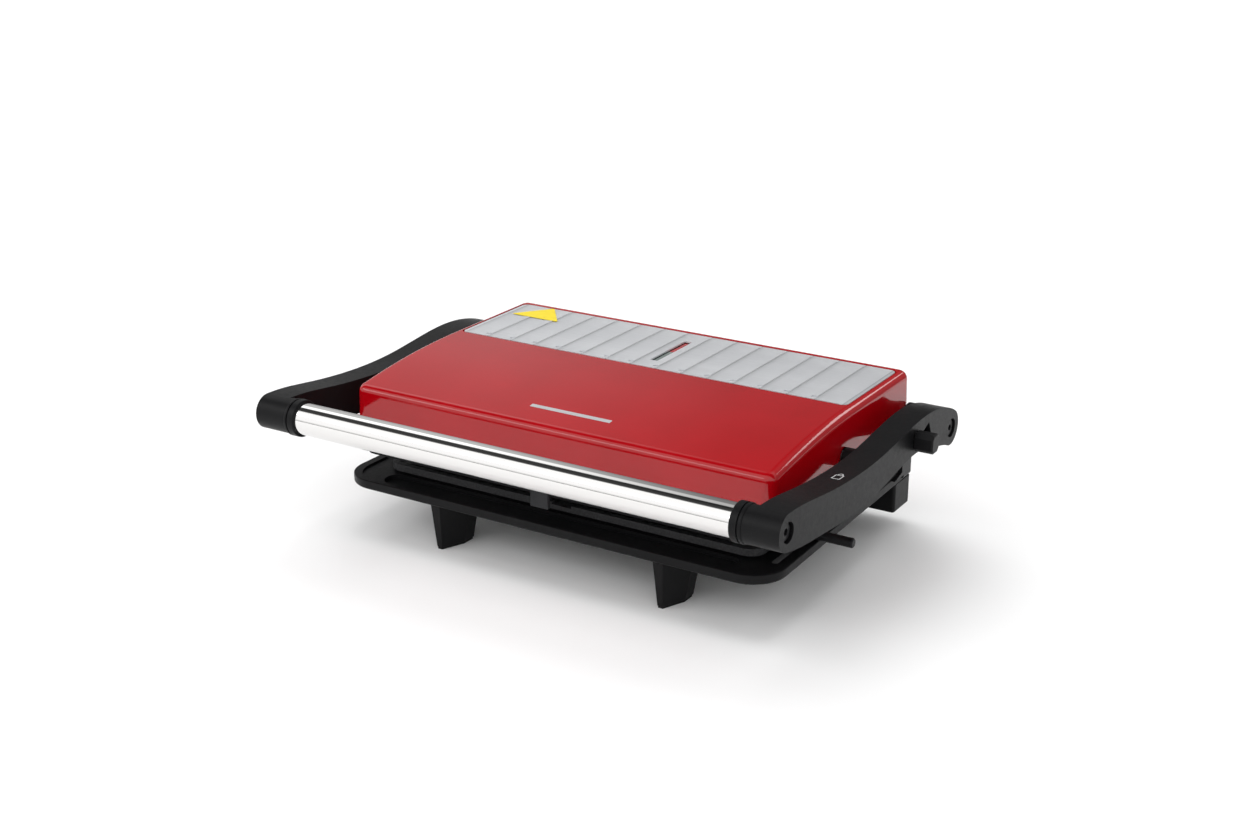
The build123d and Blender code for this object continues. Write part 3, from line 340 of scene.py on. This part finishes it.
# millimetres, x from the press's middle and y from its front edge
BAR_X, BAR_Y = 1, 33.8
BAR_HALF_LENGTH = 28.5
BAR_HALF_WIDTH = 1.7
TRIANGLE_X = -117
TRIANGLE_FRONT_Y = 168.5
TRIANGLE_REAR_Y = 192.6
TRIANGLE_HALF_WIDTH = 17.5
TRIANGLE_CORNER = (0.9, 1.1)
TRIANGLE_TIP_HALF = 0.8
PADLOCK_X, PADLOCK_Y = 172.0, 44.0
PADLOCK_HALF = (2.6, 3.6)
PADLOCK_WINDOW_HALF = (2.0, 2.9)
SHACKLE_OUTER = (1.7, 2.8)
SHACKLE_INNER = (1.1, 2.1)


def rectangle(x, y, half_x, half_y):
    """Corners of an upright rectangle about (x, y)."""
    left, right = x - half_x, x + half_x
    front, rear = y - half_y, y + half_y
    return [(left, front), (right, front), (right, rear), (left, rear)]


def arch(x, y, half_width, rise):
    """Half ellipse behind (x, y), from its right end to its left: a negative half_width runs it back."""
    turns = [radians(degrees) for degrees in range(0, 181, 20)]
    return [(x + half_width * cos(turn), y + rise * sin(turn)) for turn in turns]


def blunt_triangle():
    """Triangle with its three points cut off, the tip to the rear."""
    corner_x, corner_y = TRIANGLE_CORNER
    wide = TRIANGLE_HALF_WIDTH + corner_x
    right = [
        (TRIANGLE_HALF_WIDTH, TRIANGLE_FRONT_Y),
        (wide, TRIANGLE_FRONT_Y + corner_y),
        (TRIANGLE_TIP_HALF, TRIANGLE_REAR_Y),
    ]
    return [(TRIANGLE_X + x, y) for x, y in right] + [(TRIANGLE_X - x, y) for x, y in reversed(right)]


def print_marks():
    """Marks without wording: a plain silver bar, a plain triangle and a padlock outline."""
    silver = ink("silver_ink", (0.42, 0.42, 0.43), 0.4)
    yellow = ink("yellow_film", (0.85, 0.66, 0.01), 0.4)
    white = ink("white_ink", (0.5, 0.5, 0.5), 0.5)
    bar = rectangle(BAR_X, BAR_Y, BAR_HALF_LENGTH, BAR_HALF_WIDTH)
    decal("cover_bar", bar, "top_cover", "upper_unit", silver)
    patch = blunt_triangle()
    decal("warning_patch", patch, "trim_panel", "upper_unit", yellow, flat=True)
    body = rectangle(PADLOCK_X, PADLOCK_Y, *PADLOCK_HALF)
    window = rectangle(PADLOCK_X, PADLOCK_Y, *PADLOCK_WINDOW_HALF)
    decal("padlock_body", body, "arm_right", "handle_arms", white, holes=[window])
    foot_y = PADLOCK_Y + PADLOCK_HALF[1]
    outer = arch(PADLOCK_X, foot_y, -SHACKLE_OUTER[0], SHACKLE_OUTER[1])
    inner = arch(PADLOCK_X, foot_y, *SHACKLE_INNER)
    decal("padlock_shackle", outer + inner, "arm_right", "handle_arms", white)


# edge radii of the moulded and folded pieces, in millimetres
ROUNDED = (
    ("arm_right", 1.6), ("arm_left", 1.6), ("lower_housing", 0.4), ("front_leg_right", 0.8),
    ("front_leg_left", 0.8), ("front_tab", 0.5), ("trim_panel", 0.12), ("hinge_bracket_right", 0.5),
    ("hinge_bracket_left", 0.5), ("release_button", 0.5), ("lock_rod", 0.3),
)
# in degrees: faces that turn by less than the flat one are joined, then edges past the sharp one rounded
SHARP_ANGLE = 40
FLAT_ANGLE = 0.4


def rounded(node, width):
    """Rounds a CAD node's sharp edges as the moulding has them."""
    target = frame["nodes"][node]
    weld = target.modifiers.new("weld", "WELD")
    weld.merge_threshold = 0.01 * MM
    flat = target.modifiers.new("flat", "DECIMATE")
    flat.decimate_type = "DISSOLVE"
    flat.angle_limit = radians(FLAT_ANGLE)
    bevel = target.modifiers.new("bevel", "BEVEL")
    bevel.width = width
    bevel.segments = 3
    bevel.limit_method = "ANGLE"
    bevel.angle_limit = radians(SHARP_ANGLE)
    bevel.harden_normals = False
    normals = target.modifiers.new("normals", "WEIGHTED_NORMAL")
    normals.keep_sharp = False


# ------------------------------------------------------------------ camera, light and floor
FLOOR_HALF = 8.0


def lay_floor():
    """Flat sheet of pale paper."""
    form = bmesh.new()
    bmesh.ops.create_grid(form, x_segments=8, y_segments=8, size=FLOOR_HALF)
    mesh = bpy.data.meshes.new("floor")
    form.to_mesh(mesh)
    form.free()
    floor = bpy.data.objects.new("floor", mesh)
    bpy.context.scene.collection.objects.link(floor)
    paper = Paint("paper", (0.9, 0.9, 0.9), 0.7)
    paper.tint(paper.noise(3), (0.89, 0.89, 0.89), (0.91, 0.91, 0.91))
    floor.data.materials.append(paper.material)


def softbox(name, place, aim, width, height, power):
    """Rectangular studio light aimed at a point."""
    light = bpy.data.lights.new(name, "AREA")
    light.shape = "RECTANGLE"
    light.size = width
    light.size_y = height
    light.energy = power
    lamp = bpy.data.objects.new(name, light)
    bpy.context.scene.collection.objects.link(lamp)
    lamp.location = place
    lamp.rotation_euler = (Vector(aim) - Vector(place)).to_track_quat("-Z", "Y").to_euler()


# brightness by degrees round the press's long axis: 0 front, 90 overhead, 180 behind
WALL_BANDS = (
    (0, 0.05), (2, 0.8), (12, 1.25), (68, 1.3), (73, 0.12), (77, 0.05), (101, 0.05),
    (106, 1.5), (124, 1.5), (130, 0.62), (150, 0.62), (179, 0.35),
)
# how much of that is left behind the press, by the direction's share to the right (-1 left, +1 right)
SIDE_FADE = ((-1.0, 1.0), (-0.56, 1.0), (-0.44, 0.38), (-0.3, 0.15), (-0.1, 0.4), (0.2, 0.6), (1.0, 0.6))
# the change from front to behind is spread over this much of the direction's forward share
BEHIND_BLEND = 0.1


def studio_walls():
    """Dark flags between bright panels, for the streaks in gloss and steel."""
    world = bpy.data.worlds.new("studio")
    bpy.context.scene.world = world
    world.use_nodes = True
    nodes = world.node_tree.nodes
    links = world.node_tree.links
    place = nodes.new("ShaderNodeTexCoord")
    split = nodes.new("ShaderNodeSeparateXYZ")
    links.new(place.outputs["Generated"], split.inputs["Vector"])

    forward = nodes.new("ShaderNodeMath")
    forward.operation = "MULTIPLY"
    forward.inputs[1].default_value = -1.0
    links.new(split.outputs["Y"], forward.inputs[0])
    angle = nodes.new("ShaderNodeMath")
    angle.operation = "ARCTAN2"
    links.new(split.outputs["Z"], angle.inputs[0])
    links.new(forward.outputs["Value"], angle.inputs[1])
    turn = nodes.new("ShaderNodeMath")
    turn.operation = "DIVIDE"
    turn.inputs[1].default_value = pi
    links.new(angle.outputs["Value"], turn.inputs[0])
    bands = [(degrees / 180, grey) for degrees, grey in WALL_BANDS]
    walls = grey_ramp(nodes, links, turn.outputs["Value"], bands)

    across = rescaled(nodes, links, split.outputs["X"], -1.0, 1.0)
    sides = [((share + 1) / 2, grey) for share, grey in SIDE_FADE]
    fade = grey_ramp(nodes, links, across.outputs["Result"], sides)
    behind = rescaled(nodes, links, split.outputs["Y"], -BEHIND_BLEND, BEHIND_BLEND)
    kept = nodes.new("ShaderNodeMix")
    kept.inputs[FLOAT_A].default_value = 1.0
    links.new(behind.outputs["Result"], kept.inputs[MIX_FACTOR])
    links.new(fade, kept.inputs[FLOAT_B])

    product = nodes.new("ShaderNodeVectorMath")
    product.operation = "MULTIPLY"
    links.new(walls, product.inputs[0])
    links.new(kept.outputs[FLOAT_RESULT], product.inputs[1])
    links.new(product.outputs["Vector"], nodes["Background"].inputs["Color"])
    nodes["Background"].inputs["Strength"].default_value = 1.0


def soft_sun(name, strength, spread, heading):
    """Broad light that shapes the shadows and leaves no image of itself in gloss."""
    light = bpy.data.lights.new(name, "SUN")
    light.energy = strength
    light.angle = radians(spread)
    lamp = bpy.data.objects.new(name, light)
    bpy.context.scene.collection.objects.link(lamp)
    lamp.visible_glossy = False
    lamp.rotation_euler = Vector(heading).to_track_quat("-Z", "Y").to_euler()


def light_up():
    """Even studio light, a little stronger from the left and behind."""
    studio_walls()
    soft_sun("back_left_panel", strength=1.2, spread=50, heading=(0.42, -0.34, -1.0))
    soft_sun("ceiling", strength=0.75, spread=150, heading=(0, 0, -1.0))
    centre = (CAD_LOW + CAD_HIGH) / 2
    softbox("front_strip", place=(-1.06, -1.28, 1.11), aim=centre, width=1.8, height=0.3, power=5)
    softbox("side_strip", place=(0.72, 1.54, 1.06), aim=centre, width=0.9, height=0.3, power=3.5)


# metres from the press's middle, its front edge and the worktop; degrees; lens and sensor in millimetres
CAMERA_PLACE = (0.5602, -0.8132, 0.4660)
CAMERA_DIP = 20.05
CAMERA_TURN = 31.63
CAMERA_LENS = 52.09
CAMERA_SENSOR = 36


def place_camera():
    """Three-quarter view from the right front, looking a little down, in plain display tones."""
    camera = bpy.data.cameras.new("camera")
    camera.lens = CAMERA_LENS
    camera.sensor_width = CAMERA_SENSOR
    view = bpy.data.objects.new("camera", camera)
    bpy.context.scene.collection.objects.link(view)
    right, back, up = CAMERA_PLACE
    view.location = (PRESS_X + right, FRONT_EDGE_Y + back, up)
    view.rotation_euler = (radians(90 - CAMERA_DIP), 0, radians(CAMERA_TURN))
    bpy.context.scene.camera = view
    bpy.context.scene.view_settings.view_transform = "Standard"


# ------------------------------------------------------------------ build
dress_nodes()
print_marks()
for node, width in ROUNDED:
    rounded(node, width * MM)
lay_floor()
light_up()
place_camera()
